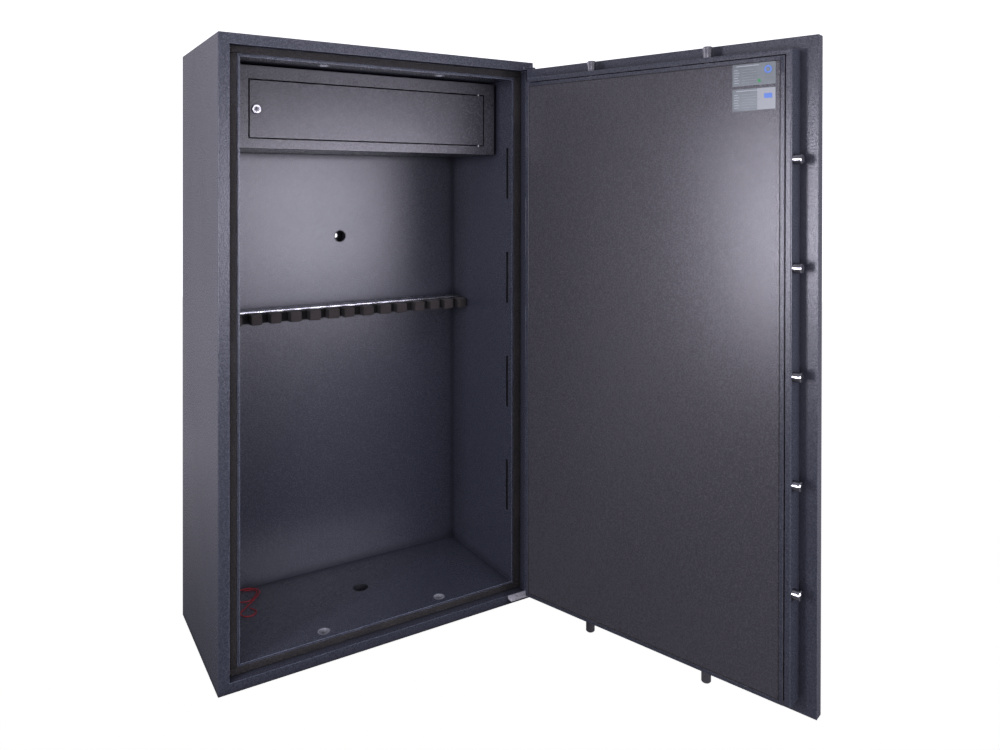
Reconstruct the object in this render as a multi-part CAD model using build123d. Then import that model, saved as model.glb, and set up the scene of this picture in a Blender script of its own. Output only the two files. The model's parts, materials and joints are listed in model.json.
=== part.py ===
from build123d import *
import os
import math

# Gun safe with a locker, a rifle rack and an open door hinged on the right.
# It is drawn from its front lower left corner: X runs right as seen from the front,
# Y from front to back, Z up. Pieces are saved with the floor anchor's axis as X-Y origin.
# The door is drawn closed and its bolts withdrawn; it is saved open, with the bolts thrown.
# Units are mm. Cutters run a little past the faces they open.

os.makedirs("parts", exist_ok=True)

# ---------------------------------------------------------------- driving dimensions
WIDTH, DEPTH, HEIGHT = 850.0, 420.0, 1500.0
SHELL_T = 3.0                         # outer shell sheet
LINER_T = 2.0                         # inner shell sheet
RIM = 25.0                            # width of the front frame face
REBATE = 27.0                         # depth of the door rebate
SEAT_T = 2.0                          # thickness of the seal seat behind the rebate
CABIN_X0 = 54.0                       # cabin side walls
CABIN_X1 = WIDTH - CABIN_X0
CABIN_Z0, CABIN_Z1 = 48.0, 1451.0     # cabin floor and ceiling
CABIN_Y1 = 377.0                      # cabin back wall
LIP = 6.0                             # width of the hemmed lip around the cabin mouth
LIP_Y = 24.6                          # front of that lip
FILL_GAP = 0.5                        # play around the fire filling

ANCHOR_X, ANCHOR_Y = WIDTH / 2, 215.0
BACK_ANCHOR_Z = 1008.0
FLOOR_CUP_R, BACK_CUP_R = 22.0, 18.0
FLOOR_HOLE_R, BACK_HOLE_R = 9.0, 7.0
CUP_WALL, CUP_BASE = 2.0, 6.0

DOOR_GAP = 1.5                        # gap between door and frame
DOOR_X0, DOOR_X1 = RIM + DOOR_GAP, WIDTH - RIM - DOOR_GAP
DOOR_Z0, DOOR_Z1 = RIM + DOOR_GAP, HEIGHT - RIM - DOOR_GAP
DOOR_T = 24.0                         # pan and back plate together
PAN_Y1 = 21.0                         # where the pan meets the back plate
CASING_X0, CASING_X1 = 65.5, 786.0    # boltwork casing
CASING_Z0, CASING_Z1 = 57.0, 1443.0
CASING_Y1 = 70.0                      # face of the casing towards the cabin
CASING_T = 2.5
HINGE_X, HINGE_Y = 836.0, -8.0        # main hinge axis
HINGE_PIN_R = 5.0
OPEN_DEG = 107.0

BOLT_R = 11.0
BOLT_Y = 56.0
SIDE_BOLT_Z = [294.0 + 229.0 * i for i in range(5)]
END_BOLT_X = [265.0, 585.0]           # top and bottom bolts
SOCKET_R = 15.0                       # outside radius of the bolt bushes
BUSH_INSET = 18.0                     # from the outside of the body to a bush
BUSH_PROUD = 0.6                      # how far a bush stands into the cabin
DOG_Z = [310.0, 603.3, 896.7, 1190.0]
DOG_Y0, DOG_Y1 = 50.5, 54.5
DOG_HALF = 70.0                       # half the height of a hinge dog

SPINDLE_X, SPINDLE_Z = 225.0, SIDE_BOLT_Z[2]
SPINDLE_R, SPINDLE_BUSH_R = 7.0, 10.0
LOCK_X, LOCK_Z = 258.0, 900.0         # main lock
LOCK_HOLE_R = 9.2
MODULE, TEETH, PRESSURE = 2.0, 14, math.radians(25.0)
PITCH_R = MODULE * TEETH / 2.0
THROW = PITCH_R * math.pi / 2.0       # bolt travel in a quarter turn

SCREW_R = 3.0
LOCKER_SCREWS = [(x, z) for z in (1290.0, 1405.0) for x in (120.0, 726.0)]
RACK_SCREWS = [(95.0 + 220.0 * i, 797.0) for i in range(4)]


# ---------------------------------------------------------------- helpers
def block(x0, x1, y0, y1, z0, z1):
    return Pos((x0 + x1) / 2, (y0 + y1) / 2, (z0 + z1) / 2) * Box(x1 - x0, y1 - y0, z1 - z0)


def cyl_x(x0, x1, y, z, r):
    return Pos((x0 + x1) / 2, y, z) * Rot(0, 90, 0) * Cylinder(r, x1 - x0)


def cyl_y(x, y0, y1, z, r):
    return Pos(x, (y0 + y1) / 2, z) * Rot(90, 0, 0) * Cylinder(r, y1 - y0)


def cyl_z(x, y, z0, z1, r):
    return Pos(x, y, (z0 + z1) / 2) * Cylinder(r, z1 - z0)


def prism_y(points, y0, y1):
    """Closed outline of (x, z) points, pulled along +Y."""
    face = make_face(Polyline(*[(x, y0, z) for x, z in points], close=True))
    return extrude(face, amount=y1 - y0, dir=(0, 1, 0))


def group(items):
    return Compound(children=[solid for item in items for solid in item.solids()])


def edges_at(shape, axis, value):
    """Edges whose centre lies at this value of X, Y or Z."""
    return [e for e in shape.edges() if abs(getattr(e.center(), axis) - value) < 0.01]


def round_at(shape, axis, value, radius):
    return fillet(edges_at(shape, axis, value), radius)


def bevel_at(shape, axis, value, size):
    return chamfer(edges_at(shape, axis, value), size)


def save(name, shape):
    export_step(Pos(-ANCHOR_X, -ANCHOR_Y, 0) * shape, "parts/" + name + ".step")


def save_open(name, shape):
    """Swing a door piece open about the main hinge, then save it."""
    swing = Pos(HINGE_X, HINGE_Y, 0) * Rot(0, 0, OPEN_DEG) * Pos(-HINGE_X, -HINGE_Y, 0)
    save(name, swing * shape)


def thrown(shape, dx, dz):
    return Pos(dx * THROW, 0, dz * THROW) * shape


def quarter_turn(shape):
    """Turn about the spindle from unlocked to locked."""
    return Pos(SPINDLE_X, 0, SPINDLE_Z) * Rot(0, 90, 0) * Pos(-SPINDLE_X, 0, -SPINDLE_Z) * shape


def wall_screws(places, sheet):
    """Round-headed screws through a sheet lying on the cabin's back wall."""
    seat_y = CABIN_Y1 - sheet
    head_y = seat_y - 3.5
    screws = []
    for x, z in places:
        shank = cyl_y(x, seat_y, CABIN_Y1 + 12, z, SCREW_R)
        screws.append(shank + round_at(cyl_y(x, head_y, seat_y, z, 5.5), "Y", head_y, 1.5))
    return group(screws)


# ================================================================= BODY
# outer shell: sheet box, front frame, rebate return and seal seat
outer = block(0, WIDTH, 0, DEPTH, 0, HEIGHT)
outer = fillet(outer.edges(), 2.5)
outer -= block(SHELL_T, WIDTH - SHELL_T, SHELL_T, DEPTH - SHELL_T, SHELL_T, HEIGHT - SHELL_T)
outer -= block(RIM, WIDTH - RIM, -1, SHELL_T + 1, RIM, HEIGHT - RIM)
RETURN = RIM - SHELL_T                # outer face of the rebate return
SEAT_EDGE = LIP + 0.5                 # from the cabin to the opening in the seat
seat_x = CABIN_X0 - SEAT_EDGE
rebate = block(RETURN, WIDTH - RETURN, SHELL_T, REBATE + SEAT_T, RETURN, HEIGHT - RETURN)
rebate -= block(RIM, WIDTH - RIM, 0, REBATE, RIM, HEIGHT - RIM)
rebate -= block(seat_x, WIDTH - seat_x, 0, REBATE + 3, CABIN_Z0 - SEAT_EDGE, CABIN_Z1 + SEAT_EDGE)
outer += rebate
outer -= cyl_z(ANCHOR_X, ANCHOR_Y, -1, SHELL_T + 1, FLOOR_HOLE_R)
outer -= cyl_y(ANCHOR_X, DEPTH - SHELL_T - 1, DEPTH + 1, BACK_ANCHOR_Z, BACK_HOLE_R)
save("outer_shell", outer)

# inner shell: cabin liner with a hemmed lip at its mouth
LINER_X0, LINER_X1 = CABIN_X0 - LINER_T, CABIN_X1 + LINER_T
LINER_Z0, LINER_Z1 = CABIN_Z0 - LINER_T, CABIN_Z1 + LINER_T
LINER_Y1 = CABIN_Y1 + LINER_T
inner = block(LINER_X0, LINER_X1, 28, LINER_Y1, LINER_Z0, LINER_Z1)
lip = block(CABIN_X0 - LIP, CABIN_X1 + LIP, LIP_Y, 29, CABIN_Z0 - LIP, CABIN_Z1 + LIP)
inner += bevel_at(lip, "Y", LIP_Y, 1.5)
inner -= block(CABIN_X0, CABIN_X1, LIP_Y - 5, CABIN_Y1, CABIN_Z0, CABIN_Z1)
inner -= cyl_z(ANCHOR_X, ANCHOR_Y, CABIN_Z0 - 10, CABIN_Z0 + 5, FLOOR_CUP_R)
inner -= cyl_y(ANCHOR_X, CABIN_Y1 - 5, CABIN_Y1 + 5, BACK_ANCHOR_Z, BACK_CUP_R)
for z in SIDE_BOLT_Z:
    inner -= cyl_x(CABIN_X0 - 5, CABIN_X0 + 3, BOLT_Y, z, SOCKET_R)
for x in END_BOLT_X:
    inner -= cyl_z(x, BOLT_Y, CABIN_Z0 - 5, CABIN_Z0 + 3, SOCKET_R)
    inner -= cyl_z(x, BOLT_Y, CABIN_Z1 - 3, CABIN_Z1 + 5, SOCKET_R)
for z in DOG_Z:
    slot = block(CABIN_X1 - 3, CABIN_X1 + 5, 44, 57, z - 72.25, z + 72.25)
    inner -= fillet(slot.edges().filter_by(Axis.X), 3.0)
for x, z in LOCKER_SCREWS + RACK_SCREWS:
    inner -= cyl_y(x, CABIN_Y1 - 1, CABIN_Y1 + 5, z, SCREW_R)
save("inner_shell", inner)

# mineral fire filling: slabs between the shells, four of them with a nose behind the frame
EDGE = SHELL_T + FILL_GAP             # outer face of the filling
NOSE = RETURN - FILL_GAP              # inner face of a nose
NOSE_Y1 = REBATE + SEAT_T + FILL_GAP
FILL_X1, FILL_Y1, FILL_Z1 = WIDTH - EDGE, DEPTH - EDGE, HEIGHT - EDGE
left = block(EDGE, LINER_X0 - FILL_GAP, NOSE_Y1, FILL_Y1, LINER_Z0, LINER_Z1)
left += block(EDGE, NOSE, EDGE, NOSE_Y1, LINER_Z0, LINER_Z1)
right = block(LINER_X1 + FILL_GAP, FILL_X1, NOSE_Y1, FILL_Y1, LINER_Z0, LINER_Z1)
right += block(WIDTH - NOSE, FILL_X1, EDGE, NOSE_Y1, LINER_Z0, LINER_Z1)
bottom = block(EDGE, FILL_X1, NOSE_Y1, FILL_Y1, EDGE, LINER_Z0 - FILL_GAP)
bottom += block(EDGE, FILL_X1, EDGE, NOSE_Y1, EDGE, NOSE)
top = block(EDGE, FILL_X1, NOSE_Y1, FILL_Y1, LINER_Z1 + FILL_GAP, FILL_Z1)
top += block(EDGE, FILL_X1, EDGE, NOSE_Y1, HEIGHT - NOSE, FILL_Z1)
back = block(LINER_X0 + FILL_GAP, LINER_X1 - FILL_GAP, LINER_Y1 + FILL_GAP, FILL_Y1,
             LINER_Z0 + FILL_GAP, LINER_Z1 - FILL_GAP)
for z in SIDE_BOLT_Z:
    left -= cyl_x(BUSH_INSET - 4, CABIN_X0 + 1, BOLT_Y, z, SOCKET_R + 0.2)
for z in DOG_Z:
    right -= block(790, 815, 42, 59, z - 74, z + 74)
for x in END_BOLT_X:
    bottom -= cyl_z(x, BOLT_Y, BUSH_INSET - 2, 50, SOCKET_R + 0.2)
    top -= cyl_z(x, BOLT_Y, 1450, HEIGHT - BUSH_INSET + 2, SOCKET_R + 0.2)
bottom -= cyl_z(ANCHOR_X, ANCHOR_Y, 0, 50, FLOOR_CUP_R + 0.3)
back -= cyl_y(ANCHOR_X, 375, DEPTH, BACK_ANCHOR_Z, BACK_CUP_R + 0.3)
for x, z in LOCKER_SCREWS + RACK_SCREWS:
    back -= cyl_y(x, 375, 392, z, SCREW_R + 0.4)
save("fill_left", left)
save("fill_right", right)
save("fill_bottom", bottom)
save("fill_top", top)
save("fill_back", back)

# heat-swelling seal strips around the rebate: left, right, bottom, top
SEAL_OUT, SEAL_IN, SEAL_END = 25.6, 47.0, 42.2
strips = [  # x0, x1, z0, z1
    (SEAL_OUT, SEAL_IN, SEAL_END, HEIGHT - SEAL_END),
    (WIDTH - SEAL_IN, WIDTH - SEAL_OUT, SEAL_END, HEIGHT - SEAL_END),
    (SEAL_OUT, WIDTH - SEAL_OUT, SEAL_OUT, 41.3),
    (SEAL_OUT, WIDTH - SEAL_OUT, HEIGHT - 41.8, HEIGHT - SEAL_OUT),
]
save("fire_seal", group([
    bevel_at(block(x0, x1, LIP_Y, REBATE, z0, z1), "Y", LIP_Y, 0.6) for x0, x1, z0, z1 in strips
]))

# steel bushes that receive the bolts
BUSH_BORE_R = 13.0
bushes = []
for z in SIDE_BOLT_Z:
    bush = cyl_x(BUSH_INSET, CABIN_X0 + BUSH_PROUD, BOLT_Y, z, SOCKET_R)
    bushes.append(bush - cyl_x(BUSH_INSET - 1, CABIN_X0 + 1, BOLT_Y, z, BUSH_BORE_R))
for x in END_BOLT_X:
    for z0, z1 in ((BUSH_INSET, CABIN_Z0 + BUSH_PROUD), (CABIN_Z1 - BUSH_PROUD, HEIGHT - BUSH_INSET)):
        bush = cyl_z(x, BOLT_Y, z0, z1, SOCKET_R)
        bushes.append(bush - cyl_z(x, BOLT_Y, z0 - 1, z1 + 1, BUSH_BORE_R))
save("bolt_bushes", group(bushes))

# anchor cups: a steel sleeve with a thick drilled bottom
base = SHELL_T + CUP_BASE
cup = cyl_z(ANCHOR_X, ANCHOR_Y, SHELL_T, CABIN_Z0 + 0.4, FLOOR_CUP_R)
cup -= cyl_z(ANCHOR_X, ANCHOR_Y, base, CABIN_Z0 + 1, FLOOR_CUP_R - CUP_WALL)
cup -= cyl_z(ANCHOR_X, ANCHOR_Y, SHELL_T - 1, base + 1, FLOOR_HOLE_R)
save("floor_anchor_cup", cup)
base = DEPTH - SHELL_T - CUP_BASE
cup = cyl_y(ANCHOR_X, CABIN_Y1 - 0.4, DEPTH - SHELL_T, BACK_ANCHOR_Z, BACK_CUP_R)
cup -= cyl_y(ANCHOR_X, CABIN_Y1 - 1, base, BACK_ANCHOR_Z, BACK_CUP_R - CUP_WALL)
cup -= cyl_y(ANCHOR_X, base - 1, DEPTH - 2, BACK_ANCHOR_Z, BACK_HOLE_R)
save("back_anchor_cup", cup)


# hinge brackets and pins in front of the frame's right side
def hinge_bracket(x0, z0, corner):
    plate = block(x0, 847, -18, 0, z0, z0 + 8)
    plate = fillet(plate.edges().filter_by(Axis.Z).group_by(Axis.Y)[0], corner)
    return plate - cyl_z(HINGE_X, HINGE_Y, z0 - 1, z0 + 9, HINGE_PIN_R)


def hinge_pin(z0, z1, tip_z, head_z):
    pin = bevel_at(cyl_z(HINGE_X, HINGE_Y, z0, z1, HINGE_PIN_R), "Z", tip_z, 1.0)
    return pin + cyl_z(HINGE_X, HINGE_Y, head_z, head_z + 4, 6.5)


save("hinge_bracket_bottom", hinge_bracket(769, 16, 1.5) - cyl_z(793, -9, 15, 25, 4.5))
save("hinge_bracket_top", hinge_bracket(806, 1476, 5.0))
save("hinge_pin_bottom", hinge_pin(12, 48, 48, 12))
save("hinge_pin_top", hinge_pin(1452, 1488, 1452, 1484))

# ================================================================= LOCKER
LOCKER_X0, LOCKER_X1, LOCKER_Y, LOCKER_Z0, LOCKER_Z1 = 58.0, 788.0, 108.0, 1244.0, 1446.0
LOCKER_T = 1.5
MOUTH_X0, MOUTH_X1, MOUTH_Z0, MOUTH_Z1 = 94.0, 754.0, 1267.5, 1413.5
PIN_X, PIN_Y, PIN_R = 737.0, 113.2, 3.0        # locker hinge
CAM_X, CAM_Z, PLUG_R = 113.0, 1339.5, 6.0      # locker lock


def pin_notch(z0, z1):
    return block(PIN_X - 3.2, PIN_X + 3.2, LOCKER_Y - 1, LOCKER_Y + 2, z0, z1)


locker = block(LOCKER_X0, LOCKER_X1, LOCKER_Y, CABIN_Y1, LOCKER_Z0, LOCKER_Z1)
locker = round_at(locker, "Y", LOCKER_Y, 1.2)
locker -= block(LOCKER_X0 + LOCKER_T, LOCKER_X1 - LOCKER_T, LOCKER_Y + LOCKER_T,
                CABIN_Y1 - LOCKER_T, LOCKER_Z0 + LOCKER_T, LOCKER_Z1 - LOCKER_T)
locker -= block(MOUTH_X0, MOUTH_X1, LOCKER_Y - 1, LOCKER_Y + 2, MOUTH_Z0, MOUTH_Z1)
locker -= pin_notch(MOUTH_Z0 - 2.8, MOUTH_Z0 + 1)
locker -= pin_notch(MOUTH_Z1 - 1, MOUTH_Z1 + 2.8)
for z in (MOUTH_Z0 - 7.5, MOUTH_Z1 + 4.5):     # hinge lugs
    locker += block(PIN_X - 10, PIN_X + 10, LOCKER_Y + LOCKER_T, LOCKER_Y + 12, z, z + 3)
# block behind the front, left of the opening, at the cam's height
locker += block(84, 93.5, LOCKER_Y + LOCKER_T, LOCKER_Y + 12.3, CAM_Z - 8, CAM_Z + 8)
locker -= cyl_z(PIN_X, PIN_Y, MOUTH_Z0 - 8.5, MOUTH_Z0 + 1, PIN_R + 0.05)
locker -= cyl_z(PIN_X, PIN_Y, MOUTH_Z1 - 1, MOUTH_Z1 + 8.5, PIN_R + 0.05)
for x, z in LOCKER_SCREWS:
    locker -= cyl_y(x, CABIN_Y1 - 3, CABIN_Y1 + 1, z, SCREW_R)
save("locker_body", locker)
save("locker_screws", wall_screws(LOCKER_SCREWS, LOCKER_T))

# locker door: a tray open at the back
FLAP_T = 12.0
flap = block(MOUTH_X0 + 3, MOUTH_X1 - 3, LOCKER_Y, LOCKER_Y + FLAP_T, MOUTH_Z0 + 3, MOUTH_Z1 - 3)
flap = round_at(flap, "Y", LOCKER_Y, 1.0)
flap -= block(MOUTH_X0 + 4.5, MOUTH_X1 - 4.5, LOCKER_Y + 1.5, LOCKER_Y + FLAP_T + 1,
              MOUTH_Z0 + 4.5, MOUTH_Z1 - 4.5)
flap -= cyl_y(CAM_X, LOCKER_Y - 1, LOCKER_Y + 3, CAM_Z, 9.0)
flap -= pin_notch(MOUTH_Z0, MOUTH_Z0 + 5.8)
flap -= pin_notch(MOUTH_Z1 - 5.8, MOUTH_Z1)
flap -= cyl_z(PIN_X, PIN_Y, MOUTH_Z0, MOUTH_Z0 + 15, PIN_R)
flap -= cyl_z(PIN_X, PIN_Y, MOUTH_Z1 - 15, MOUTH_Z1, PIN_R)
save("locker_door", flap)
save("locker_hinge_pins", group([
    cyl_z(PIN_X, PIN_Y, MOUTH_Z0 - 7.5, MOUTH_Z0 + 14, PIN_R),
    cyl_z(PIN_X, PIN_Y, MOUTH_Z1 - 14, MOUTH_Z1 + 7.5, PIN_R),
]))

# locker lock: flanged barrel, slotted plug and cam
barrel = cyl_y(CAM_X, LOCKER_Y - 5.5, LOCKER_Y, CAM_Z, 11.0)
barrel = round_at(barrel, "Y", LOCKER_Y - 5.5, 1.2)
barrel += cyl_y(CAM_X, LOCKER_Y, LOCKER_Y + 12.5, CAM_Z, 9.0)
barrel -= cyl_y(CAM_X, LOCKER_Y - 6, LOCKER_Y + 13, CAM_Z, PLUG_R + 0.05)
save("locker_lock_barrel", barrel)
plug = cyl_y(CAM_X, LOCKER_Y - 4.6, LOCKER_Y + 15, CAM_Z, PLUG_R)
plug -= block(CAM_X - 1.1, CAM_X + 1.1, LOCKER_Y - 7, LOCKER_Y + 6, CAM_Z - 4.2, CAM_Z + 4.2)
save("locker_key_plug", plug)
cam = block(85, CAM_X, LOCKER_Y + 12.8, LOCKER_Y + 15, CAM_Z - 6, CAM_Z + 6)
cam += cyl_y(CAM_X, LOCKER_Y + 12.8, LOCKER_Y + 15, CAM_Z, 10.0)
cam -= cyl_y(CAM_X, LOCKER_Y + 12, LOCKER_Y + 16, CAM_Z, PLUG_R)
save("locker_cam", cam)

# ================================================================= RIFLE RACK
RACK_Z0, RACK_Z1 = 784.0, 813.0       # foam comb, with the rail's shelf on top
RAIL_T = 2.0
rail = block(55, 795, 322, CABIN_Y1, RACK_Z1, RACK_Z1 + RAIL_T)
rail += block(55, 795, CABIN_Y1 - RAIL_T, CABIN_Y1, RACK_Z0 - 4, RACK_Z1)
rail += block(55, 795, 320, 322, RACK_Z1 - 1.5, RACK_Z1 + RAIL_T)
for x, z in RACK_SCREWS:
    rail -= cyl_y(x, CABIN_Y1 - 3, CABIN_Y1 + 1, z, SCREW_R)
save("rack_rail", rail)
save("rack_screws", wall_screws(RACK_SCREWS, RAIL_T))

COMB_X0, COMB_X1 = 56.0, 794.0
TOOTH_W = 31.0
# tooth centres: hand cut, not quite evenly spaced
TOOTH_X = [56.5, 108.5, 160.5, 211.5, 266.0, 320.0, 373.0, 418.0,
           474.5, 528.0, 579.0, 636.5, 686.5, 734.5, 782.0]
comb = block(COMB_X0, COMB_X1, 324, 368, RACK_Z0, RACK_Z1)
comb += block(COMB_X0, COMB_X1, 305, 324, RACK_Z0, RACK_Z1 - 2)
for x in TOOTH_X:
    x0, x1 = max(COMB_X0, x - TOOTH_W / 2), min(COMB_X1, x + TOOTH_W / 2)
    tooth = round_at(block(x0, x1, 280, 306, RACK_Z0, RACK_Z1 - 0.5), "Y", 280.0, 3.0)
    comb += tooth + block(x0, x1, 305, 319.5, RACK_Z0, RACK_Z1 - 0.5)
save("rack_foam", comb)

# thin red cord lying loosely on the cabin floor: x, y, z of its centre line
CORD = [(150, 362, 49.6), (176, 350, 49.6), (168, 320, 49.6), (140, 300, 49.6), (118, 322, 49.6),
        (126, 356, 52.6), (158, 366, 53.0), (184, 338, 53.0), (160, 300, 53.2), (128, 270, 50.2),
        (108, 244, 49.6), (126, 220, 49.6), (148, 236, 49.6), (139, 262, 49.6)]
path = Spline(*CORD)
save("red_cord", sweep(Plane(origin=path @ 0, z_dir=path % 0) * Circle(1.3), path=path))


# ================================================================= DOOR
def drilled(plate, y0, y1):
    """Holes for the spindle bush and the main lock."""
    plate -= cyl_y(SPINDLE_X, y0, y1, SPINDLE_Z, SPINDLE_BUSH_R)
    return plate - cyl_y(LOCK_X, y0, y1, LOCK_Z, LOCK_HOLE_R)


pan = block(DOOR_X0, DOOR_X1, 0, PAN_Y1, DOOR_Z0, DOOR_Z1)
pan = fillet(edges_at(pan, "Y", 0.0) + pan.edges().filter_by(Axis.Y), 1.5)
pan -= block(DOOR_X0 + 3, DOOR_X1 - 3, 4, PAN_Y1 + 1, DOOR_Z0 + 3, DOOR_Z1 - 3)
save_open("door_pan", drilled(pan, -1, 5))

plate = block(DOOR_X0, DOOR_X1, PAN_Y1, DOOR_T, DOOR_Z0, DOOR_Z1)
plate = round_at(plate, "Y", DOOR_T, 0.8)
save_open("door_back_plate", drilled(plate, PAN_Y1 - 1, DOOR_T + 1))

# door filling, with a pocket for the hardplate in front of the lock
fill = block(DOOR_X0 + 3.5, DOOR_X1 - 3.5, 4.5, PAN_Y1 - 0.5, DOOR_Z0 + 3.5, DOOR_Z1 - 3.5)
fill -= cyl_y(SPINDLE_X, 4, 21, SPINDLE_Z, SPINDLE_BUSH_R + 0.3)
fill -= block(LOCK_X - 41, LOCK_X + 41, 4, 12, LOCK_Z - 51, LOCK_Z + 51)
fill -= cyl_y(LOCK_X, 4, 21, LOCK_Z, LOCK_HOLE_R + 0.3)
save_open("door_filling", fill)
hard = block(LOCK_X - 40, LOCK_X + 40, 5, 11, LOCK_Z - 50, LOCK_Z + 50)
save_open("hardplate", hard - cyl_y(LOCK_X, 4, 12, LOCK_Z, LOCK_HOLE_R))

# boltwork casing: folded tray with a narrow face flange and lugs behind the cover panel
FLANGE = 12.5
LUG_Y0, LUG_Y1 = CASING_Y1 - 6.5, CASING_Y1 - CASING_T
casing = block(CASING_X0, CASING_X1, DOOR_T, CASING_Y1, CASING_Z0, CASING_Z1)
casing = round_at(casing, "Y", CASING_Y1, 3.0)
casing -= block(CASING_X0 + CASING_T, CASING_X1 - CASING_T, DOOR_T - 1, CASING_Y1 - CASING_T,
                CASING_Z0 + CASING_T, CASING_Z1 - CASING_T)
casing -= block(CASING_X0 + FLANGE, CASING_X1 - FLANGE, CASING_Y1 - 4, CASING_Y1 + 1,
                CASING_Z0 + FLANGE, CASING_Z1 - 11.5)
for z in (180.0, 400.0, 630.0, 860.0, 1090.0, 1330.0):
    casing += block(CASING_X0 + 2, CASING_X0 + 27, LUG_Y0, LUG_Y1, z, z + 24)
for x in (330.0, 470.0, 650.0):
    casing += block(x, x + 24, LUG_Y0, LUG_Y1, CASING_Z1 - 27, CASING_Z1 - 2)
for z in SIDE_BOLT_Z:
    casing -= cyl_x(CASING_X0 - 1, CASING_X0 + 3, BOLT_Y, z, BOLT_R + 0.3)
for x in END_BOLT_X:
    casing -= cyl_z(x, BOLT_Y, CASING_Z0 - 1, CASING_Z0 + 3, BOLT_R + 0.3)
    casing -= cyl_z(x, BOLT_Y, CASING_Z1 - 3, CASING_Z1 + 1, BOLT_R + 0.3)
for z in DOG_Z:
    casing -= block(CASING_X1 - 3, CASING_X1 + 1, DOG_Y0, DOG_Y1, z - DOG_HALF, z + DOG_HALF)
save_open("boltwork_casing", casing)

# cover panel: on the flange at the hinge side and bottom, turned in at the other two edges
PANEL_X0, PANEL_Z1 = CASING_X0 + 15.0, CASING_Z1 - 14.0
PANEL_Y1 = CASING_Y1 + 1.6
TURN_Y0, TURN_Y1 = CASING_Y1 - 2.4, CASING_Y1 + 1.0
panel = block(PANEL_X0, CASING_X1 - 0.8, CASING_Y1 + 0.05, PANEL_Y1, CASING_Z0 + 0.6, PANEL_Z1)
panel += block(PANEL_X0, PANEL_X0 + 1.5, TURN_Y0, TURN_Y1, CASING_Z0 + FLANGE + 1, PANEL_Z1)
panel += block(PANEL_X0, CASING_X1 - FLANGE - 1, TURN_Y0, TURN_Y1, PANEL_Z1 - 1.5, PANEL_Z1)
save_open("inner_panel", round_at(panel, "Y", PANEL_Y1, 0.9))

plates = [block(99.5, 197.5, PANEL_Y1, PANEL_Y1 + 0.6, z, z + 47.5) for z in (1371.0, 1317.0)]
save_open("data_plates", group([fillet(p.edges().filter_by(Axis.Y), 2.0) for p in plates]))

dogs = []
for z in DOG_Z:
    dog = block(764, 803, DOG_Y0, DOG_Y1, z - DOG_HALF, z + DOG_HALF)
    dogs.append(chamfer(dog.edges().filter_by(Axis.Y).group_by(Axis.X)[-1], 6.0))
save_open("hinge_dogs", group(dogs))


def hinge_leaf(z0, z1):
    """Leaf on the door's front, cranked round to a knuckle on the hinge axis."""
    leaf = block(776, 829, -6, -0.6, z0, z1)
    leaf += block(776, 822, -0.6, 0, z0, z1)
    leaf = fillet(leaf.edges().filter_by(Axis.Y).group_by(Axis.X)[0], 4.0)
    leaf += block(826, HINGE_X, -15.4, -9, z0, z1)
    leaf += block(822, 832, -12, -0.6, z0, z1)
    leaf += cyl_z(HINGE_X, HINGE_Y, z0, z1, 7.4)
    return leaf - cyl_z(HINGE_X, HINGE_Y, z0 - 1, z1 + 1, HINGE_PIN_R + 0.05)


save_open("hinge_leaf_bottom", hinge_leaf(24.5, 52.0))
save_open("hinge_leaf_top", hinge_leaf(1448.0, 1475.5))

# guide blocks just inside the casing's edges, open towards the cabin
GUIDE_BORE_R = BOLT_R + 0.05
guides = []
for z in SIDE_BOLT_Z:
    guide = block(CASING_X0 + CASING_T, CASING_X0 + 11, 43, 63, z - 14, z + 14)
    guides.append(guide - cyl_x(CASING_X0, CASING_X0 + 12, BOLT_Y, z, GUIDE_BORE_R))
for x in END_BOLT_X:
    for z0, z1 in ((CASING_Z0 + CASING_T, CASING_Z0 + 11), (CASING_Z1 - 11, CASING_Z1 - CASING_T)):
        guide = block(x - 14, x + 14, 43, 63, z0, z1)
        guides.append(guide - cyl_z(x, BOLT_Y, z0 - 1, z1 + 1, GUIDE_BORE_R))
save_open("bolt_guides", group(guides))

# ----------------------------------------------------------------- boltwork
SIDE_TIP, TOP_TIP, BOTTOM_TIP = 69.0, 1447.0, 51.0
SIDE_BAR_X, TOP_BAR_Z, BOTTOM_BAR_Z = 148.0, 1370.0, 130.0     # where bolts meet their bars


def end_bolts(z0, z1, tip):
    return group([bevel_at(cyl_z(x, BOLT_Y, z0, z1, BOLT_R), "Z", tip, 2.0) for x in END_BOLT_X])


side = group([bevel_at(cyl_x(SIDE_TIP, SIDE_BAR_X, BOLT_Y, z, BOLT_R), "X", SIDE_TIP, 2.0)
              for z in SIDE_BOLT_Z])
save_open("side_bolts", thrown(side, -1, 0))
save_open("top_bolts", thrown(end_bolts(TOP_BAR_Z, TOP_TIP, TOP_TIP), 0, 1))
save_open("bottom_bolts", thrown(end_bolts(BOTTOM_TIP, BOTTOM_BAR_Z, BOTTOM_TIP), 0, -1))

ADDENDUM, RACK_ROOT = 1.8, 2.3        # tooth tip and rack root from the pitch line


def involute(angle):
    return math.tan(angle) - angle


def pinion_outline():
    base_r, tip_r, root_r = PITCH_R * math.cos(PRESSURE), PITCH_R + ADDENDUM, 11.4
    half = (math.pi * MODULE / 2.0 - 0.2) / 2.0 / PITCH_R    # half tooth angle at the pitch
    flank = []                        # radius, half tooth angle
    for i in range(7):
        r = base_r + (tip_r - base_r) * i / 6.0
        angle = math.acos(min(1.0, base_r / r))
        flank.append((r, half + involute(PRESSURE) - involute(angle)))
    flank.insert(0, (root_r, flank[0][1]))
    polar = []
    for k in range(TEETH):
        centre = -math.pi / 2.0 + k * 2.0 * math.pi / TEETH
        polar += [(r, centre - w) for r, w in flank]
        polar += [(r, centre + w) for r, w in reversed(flank)]
    return [(SPINDLE_X + r * math.cos(t), SPINDLE_Z + r * math.sin(t)) for r, t in polar]


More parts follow.
